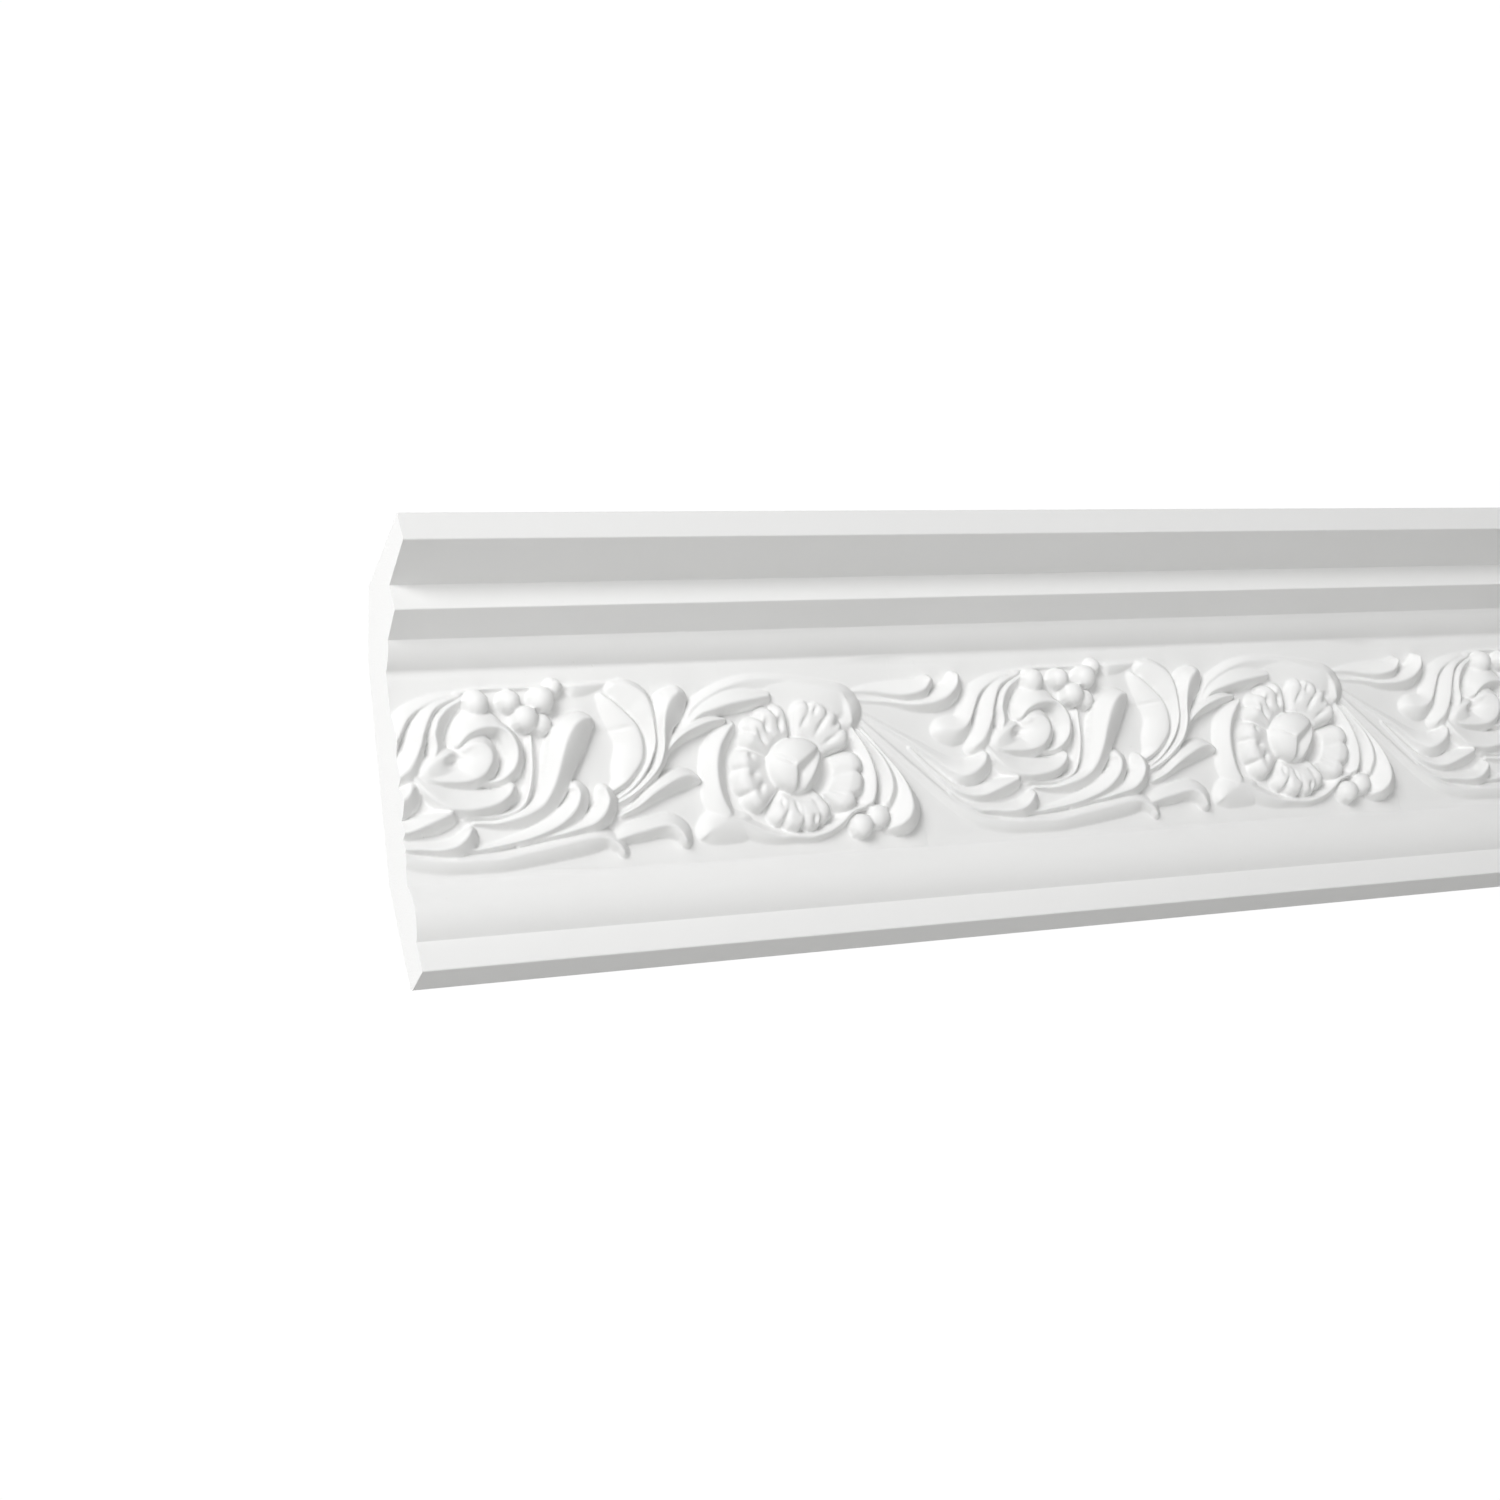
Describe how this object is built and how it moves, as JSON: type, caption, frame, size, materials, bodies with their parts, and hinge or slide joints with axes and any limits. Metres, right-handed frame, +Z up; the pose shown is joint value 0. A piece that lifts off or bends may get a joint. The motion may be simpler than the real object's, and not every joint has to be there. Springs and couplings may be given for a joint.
{
  "type": "ceiling cornice moulding",
  "caption": "Length of ceiling cornice with stepped soffits and a sloping frieze carved with scrolls, leaf fans, berries and a rosette; fits the corner of wall and ceiling.",
  "frame": {"origin": "middle of the flat strip that meets the wall, half way along the run", "axes": "+Z up to the ceiling, +Y into the wall, X along the run; the carved front faces -Y and down"},
  "size_m": [0.45, 0.08, 0.12],
  "materials": {
    "cast_white": "satin-matte white primed cast surface"
  },
  "bodies": {
    "root": {"cornice_moulding": "cast_white"}
  },
  "joints": []
}
